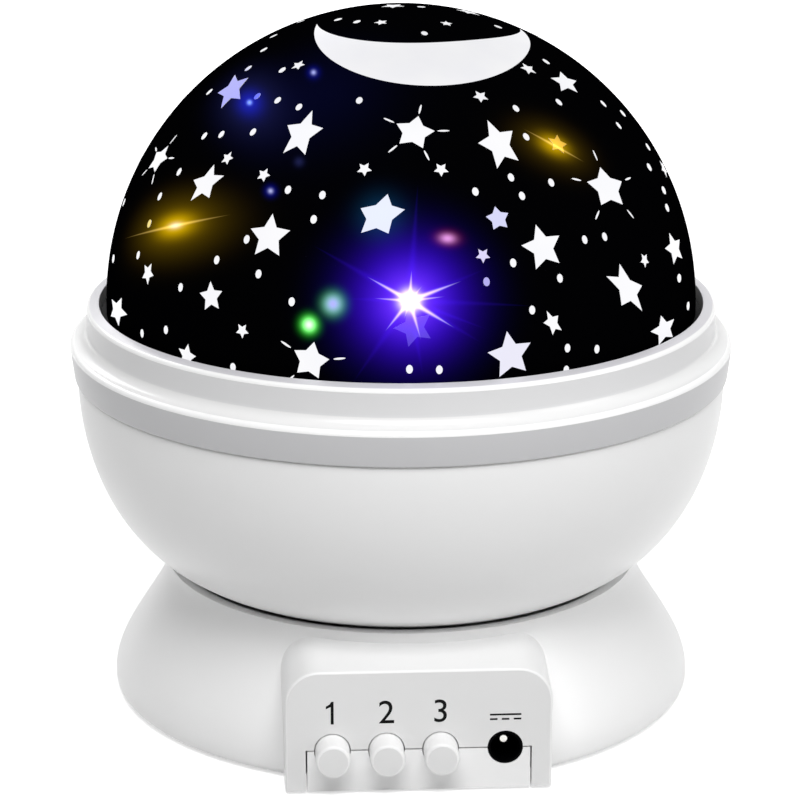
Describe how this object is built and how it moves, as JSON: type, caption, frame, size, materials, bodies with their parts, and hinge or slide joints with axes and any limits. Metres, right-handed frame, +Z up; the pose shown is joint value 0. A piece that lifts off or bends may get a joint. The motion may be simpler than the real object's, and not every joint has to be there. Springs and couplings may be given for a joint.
{
  "type": "night light projector",
  "caption": "Round night light with a star-cut dome that lifts off a motor-turned bowl on a flared base with push buttons.",
  "frame": {"origin": "centre of the footprint on the table, under the axis of the bowl and dome", "axes": "+Z up along the axis of the bowl and dome, control panel facing -Y, +X to the right seen from the panel"},
  "size_m": [0.13, 0.13, 0.1362],
  "materials": {
    "shell_white": "moulded gloss ABS",
    "ring_white": "moulded satin ABS",
    "button_white": "moulded gloss ABS",
    "film_black": "gloss black print on the dome",
    "lens_milky": "milky translucent",
    "dish_white": "matt white reflector",
    "nylon": "natural moulded nylon",
    "steel": "zinc plated",
    "jack_black": "black moulded nylon",
    "board_green": "solder mask",
    "foot_rubber": "soft pad",
    "cell_jacket": "plain wrapped cell",
    "lead_jacket": "PVC insulation",
    "led_red": "tinted epoxy",
    "led_green": "tinted epoxy",
    "led_blue": "tinted epoxy",
    "led_warm": "tinted epoxy"
  },
  "bodies": {
    "base": {"base_shell": "shell_white", "bottom_cover": "shell_white", "light_holder": "dish_white", "thrust_washer": "nylon", "spindle": "dish_white", "retaining_clip": "steel", "motor_screws": "steel", "spindle_screws": "steel", "base_screws": "steel", "board_screws": "steel", "gear_motor": "steel", "battery_contacts": "steel", "jack_pin": "steel", "jack_housing": "jack_black", "switch_a": "jack_black", "switch_b": "jack_black", "switch_c": "jack_black", "control_board": "board_green", "light_board": "board_green", "feet": "foot_rubber", "aaa_cells": "cell_jacket", "led_lead": "lead_jacket", "motor_lead": "lead_jacket", "battery_lead": "lead_jacket", "led_red": "led_red", "led_green": "led_green", "led_blue": "led_blue", "led_warm": "led_warm"},
    "bowl": {"bowl_shell": "shell_white", "trim_ring": "ring_white", "reflector_dish": "dish_white", "bowl_gear": "nylon", "gear_screws": "steel"},
    "dome": {"dome_lens": "lens_milky", "star_film": "film_black"},
    "pinion": {"drive_pinion": "nylon", "motor_shaft": "steel"},
    "button_one": {"button_a": "button_white", "switch_plunger_a": "jack_black"},
    "button_two": {"button_b": "button_white", "switch_plunger_b": "jack_black"},
    "button_three": {"button_c": "button_white", "switch_plunger_c": "jack_black"},
    "door": {"battery_door": "shell_white", "door_screw": "steel"}
  },
  "joints": [
    {"name": "bowl_spin", "type": "hinge", "parent": "base", "child": "bowl", "pos_m": [0, 0, 0.03], "axis": [0, 0, 1], "continuous": true},
    {"name": "pinion_spin", "type": "hinge", "parent": "base", "child": "pinion", "pos_m": [0, 0.036, 0.022], "axis": [0, 0, 1], "continuous": true},
    {"name": "dome_lift", "type": "slide", "parent": "bowl", "child": "dome", "axis": [0, 0, 1], "range_m": [0, 0.07]},
    {"name": "door_lift", "type": "slide", "parent": "base", "child": "door", "axis": [0, 0, -1], "range_m": [0, 0.03]},
    {"name": "button_one_press", "type": "slide", "parent": "base", "child": "button_one", "axis": [0, 1, 0], "range_m": [0, 0.0012], "stiffness_N_per_m": 1200},
    {"name": "button_two_press", "type": "slide", "parent": "base", "child": "button_two", "axis": [0, 1, 0], "range_m": [0, 0.0012], "stiffness_N_per_m": 1200},
    {"name": "button_three_press", "type": "slide", "parent": "base", "child": "button_three", "axis": [0, 1, 0], "range_m": [0, 0.0012], "stiffness_N_per_m": 1200}
  ],
  "couplings": [
    {"joint": "pinion_spin", "follows": "bowl_spin", "ratio": -5}
  ]
}
